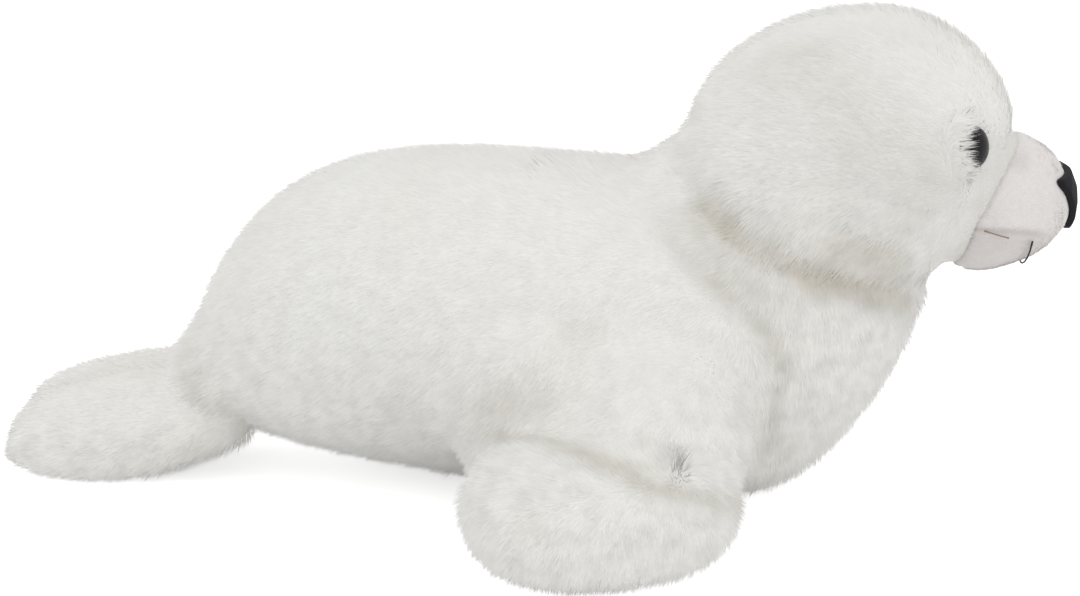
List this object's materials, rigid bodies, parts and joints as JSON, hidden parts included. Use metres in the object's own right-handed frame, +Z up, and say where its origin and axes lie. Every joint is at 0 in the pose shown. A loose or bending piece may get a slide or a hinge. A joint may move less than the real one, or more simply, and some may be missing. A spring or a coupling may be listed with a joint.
{
  "type": "plush seal",
  "caption": "Soft stuffed toy seal lying on its belly, with white fur, a short-pile snout, black nose and eyes, a sewn smile, front paddles and twin tail lobes.",
  "frame": {"origin": "centre of the footprint at the floor under the belly", "axes": "+X from the tail to the nose, +Y to the seal's left, +Z up"},
  "size_m": [0.419, 0.3048, 0.1893],
  "materials": {
    "long_pile": "long white pile on knitted cloth",
    "short_pile": "short cream pile",
    "padding": "loose polyester filling",
    "gloss_black": "polished",
    "matte_black": "matte",
    "black_thread": "stitched thread",
    "washer_plastic": "plain moulded"
  },
  "bodies": {
    "root": {"body_cover": "long_pile", "head_cover": "long_pile", "muzzle_cover": "short_pile", "front_flipper_left": "long_pile", "front_flipper_right": "long_pile", "hind_flipper_left": "long_pile", "hind_flipper_right": "long_pile", "nose": "matte_black", "eye_left": "gloss_black", "eye_right": "gloss_black", "mouth_thread": "black_thread", "cheek_stitch_left": "black_thread", "cheek_stitch_right": "black_thread", "body_stuffing": "padding", "head_stuffing": "padding", "front_flipper_stuffing_left": "padding", "front_flipper_stuffing_right": "padding", "hind_flipper_stuffing_left": "padding", "hind_flipper_stuffing_right": "padding", "eye_washer_left": "washer_plastic", "eye_washer_right": "washer_plastic", "nose_washer": "washer_plastic"}
  },
  "joints": []
}
